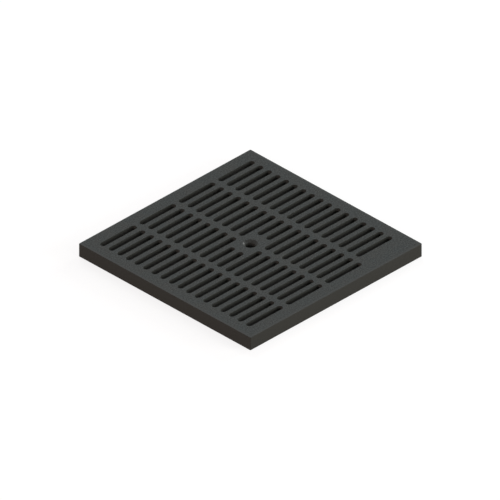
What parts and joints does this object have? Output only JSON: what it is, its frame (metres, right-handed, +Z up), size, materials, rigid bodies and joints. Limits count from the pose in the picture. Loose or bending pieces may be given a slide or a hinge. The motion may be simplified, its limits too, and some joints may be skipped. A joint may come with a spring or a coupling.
{
  "type": "gully grate",
  "caption": "Square cast-iron gully grate with rows of full-round slots, sharp tread edges and a chamfered lifting hole in the middle over a wider recess; webs narrow under the tread.",
  "frame": {"origin": "centre of the bearing face underneath, on the axis of the lifting hole", "axes": "+Z up from the bearing face to the tread, +X along the slots, +Y across the slots"},
  "size_m": [0.4, 0.4, 0.025],
  "materials": {
    "casting": "coated, fine cast grain, matt"
  },
  "bodies": {
    "root": {"grate": "casting"}
  },
  "joints": []
}
